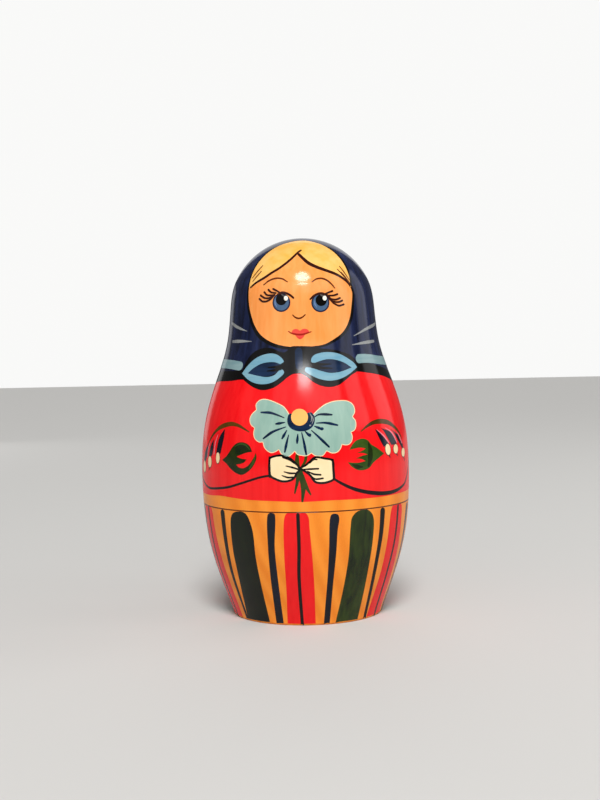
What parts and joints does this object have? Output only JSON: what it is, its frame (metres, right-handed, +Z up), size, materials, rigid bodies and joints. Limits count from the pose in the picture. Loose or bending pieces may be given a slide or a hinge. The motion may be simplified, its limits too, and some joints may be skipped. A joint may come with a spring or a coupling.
{
  "type": "nesting doll",
  "caption": "Turned wooden nesting doll with painted kerchief, blouse and striped skirt. It parts at the waist on a plug-in seam, and smaller dolls stand inside one another.",
  "frame": {"origin": "centre of the outer doll's foot, on the surface it stands on", "axes": "+Z up along the turning axis, the painted faces look along -Y, +X to the doll's left hand"},
  "size_m": [0.0694, 0.0694, 0.125],
  "materials": {
    "lime_wood": "bare turned lime wood inside, ochre stain under clear gloss lacquer outside",
    "ochre_stain": "ochre stain under clear gloss lacquer",
    "flesh_paint": "flesh paint under clear gloss lacquer",
    "hair_paint": "yellow paint under clear gloss lacquer",
    "navy_paint": "navy blue paint under clear gloss lacquer",
    "black_paint": "black paint under clear gloss lacquer",
    "red_paint": "red paint under clear gloss lacquer",
    "green_paint": "dark green paint under clear gloss lacquer",
    "pale_blue_paint": "pale blue paint under clear gloss lacquer",
    "cream_paint": "cream paint under clear gloss lacquer"
  },
  "bodies": {
    "outer_base": {"outer_base": "lime_wood"},
    "second_base": {"second_base": "lime_wood"},
    "third_base": {"third_base": "lime_wood"},
    "fourth_base": {"fourth_base": "lime_wood"},
    "smallest_doll": {"smallest_doll": "lime_wood"},
    "fourth_top": {"fourth_top": "lime_wood"},
    "third_top": {"third_top": "lime_wood"},
    "second_top": {"second_top": "lime_wood"},
    "outer_top": {"outer_top": "lime_wood"}
  },
  "joints": [
    {"name": "second_base_lift", "type": "slide", "parent": "outer_base", "child": "second_base", "axis": [0, 0, 1], "range_m": [0, 0.048]},
    {"name": "third_base_lift", "type": "slide", "parent": "second_base", "child": "third_base", "axis": [0, 0, 1], "range_m": [0, 0.039]},
    {"name": "fourth_base_lift", "type": "slide", "parent": "third_base", "child": "fourth_base", "axis": [0, 0, 1], "range_m": [0, 0.03]},
    {"name": "smallest_doll_lift", "type": "slide", "parent": "fourth_base", "child": "smallest_doll", "axis": [0, 0, 1], "range_m": [0, 0.021]},
    {"name": "fourth_top_lift", "type": "slide", "parent": "smallest_doll", "child": "fourth_top", "axis": [0, 0, 1], "range_m": [0, 0.026]},
    {"name": "third_top_lift", "type": "slide", "parent": "fourth_top", "child": "third_top", "axis": [0, 0, 1], "range_m": [0, 0.042]},
    {"name": "second_top_lift", "type": "slide", "parent": "third_top", "child": "second_top", "axis": [0, 0, 1], "range_m": [0, 0.058]},
    {"name": "outer_top_lift", "type": "slide", "parent": "second_top", "child": "outer_top", "axis": [0, 0, 1], "range_m": [0, 0.075]}
  ]
}
